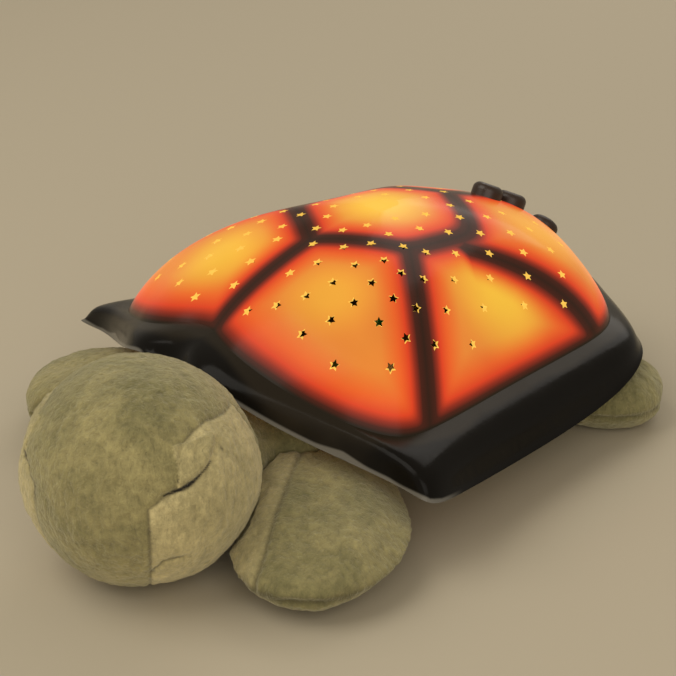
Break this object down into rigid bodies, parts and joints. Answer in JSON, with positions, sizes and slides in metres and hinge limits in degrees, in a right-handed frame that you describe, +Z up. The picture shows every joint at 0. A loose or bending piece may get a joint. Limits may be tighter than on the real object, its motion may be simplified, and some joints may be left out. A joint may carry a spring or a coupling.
{
  "type": "star night light projector",
  "caption": "Sleeping plush turtle night light: star-pierced hard domed shell with a flared scalloped brim over a stuffed body, press buttons on the rear and a screwed battery door below.",
  "frame": {"origin": "on the resting plane, under the middle of the shell, on the plush body's flat underside", "axes": "+Z up, head towards -Y, tail towards +Y, the turtle's left side towards +X"},
  "size_m": [0.2412, 0.36, 0.1063],
  "materials": {
    "plush": "short soft pile, khaki green",
    "shell_plastic": "amber-brown, translucent on the dome, smooth and glossy",
    "tray_plastic": "dark brown, fine texture",
    "door_plastic": "dark brown, fine texture",
    "screw_steel": "zinc-plated",
    "contact_metal": "nickel-plated spring sheet",
    "cell_jacket": "plain jacket, satin",
    "circuit_board": "green solder resist",
    "chip_epoxy": "black resin",
    "tower_plastic": "white, moulded",
    "lamp_amber": "clear-cast lamp, amber",
    "lamp_blue": "clear-cast lamp, blue",
    "lamp_green": "clear-cast lamp, green",
    "button_plastic": "dark brown, satin",
    "plunger_plastic": "moulded",
    "switch_plastic": "moulded"
  },
  "bodies": {
    "main": {"shell": "shell_plastic", "base_tray": "tray_plastic", "tray_screws": "screw_steel", "battery_1": "cell_jacket", "battery_2": "cell_jacket", "battery_3": "cell_jacket", "battery_contacts": "contact_metal", "main_board": "circuit_board", "control_chip": "chip_epoxy", "board_screws": "screw_steel", "lamp_tower": "tower_plastic", "lamp_board": "circuit_board", "lamp_amber": "lamp_amber", "lamp_blue": "lamp_blue", "lamp_green": "lamp_green", "switch_1": "switch_plastic", "switch_2": "switch_plastic", "switch_3": "switch_plastic", "button_board_upper": "circuit_board", "button_board_lower": "circuit_board", "button_board_screws": "screw_steel", "plush_body": "plush", "plush_head": "plush", "front_flipper_left": "plush", "front_flipper_right": "plush", "hind_foot_left": "plush", "hind_foot_right": "plush", "plush_tail": "plush"},
    "button_1": {"button_1": "button_plastic", "plunger_1": "plunger_plastic"},
    "button_2": {"button_2": "button_plastic", "plunger_2": "plunger_plastic"},
    "button_3": {"button_3": "button_plastic", "plunger_3": "plunger_plastic"},
    "door": {"battery_door": "door_plastic"},
    "door_screw": {"door_screw": "screw_steel"}
  },
  "joints": [
    {"name": "button_1_slide", "type": "slide", "parent": "main", "child": "button_1", "axis": [0, -0.4384, -0.8988], "range_m": [0, 0.001], "stiffness_N_per_m": 800},
    {"name": "button_2_slide", "type": "slide", "parent": "main", "child": "button_2", "axis": [0, -0.4384, -0.8988], "range_m": [0, 0.001], "stiffness_N_per_m": 800},
    {"name": "button_3_slide", "type": "slide", "parent": "main", "child": "button_3", "axis": [0, -0.7193, -0.6947], "range_m": [0, 0.001], "stiffness_N_per_m": 800},
    {"name": "battery_door_hinge", "type": "hinge", "parent": "main", "child": "door", "pos_m": [0, 0.0072, 0.0036], "axis": [-1, 0, 0], "range_deg": [0, 85]},
    {"name": "door_screw_turn", "type": "hinge", "parent": "door", "child": "door_screw", "pos_m": [0, 0.064, 0.0026], "axis": [0, 0, 1], "continuous": true}
  ]
}
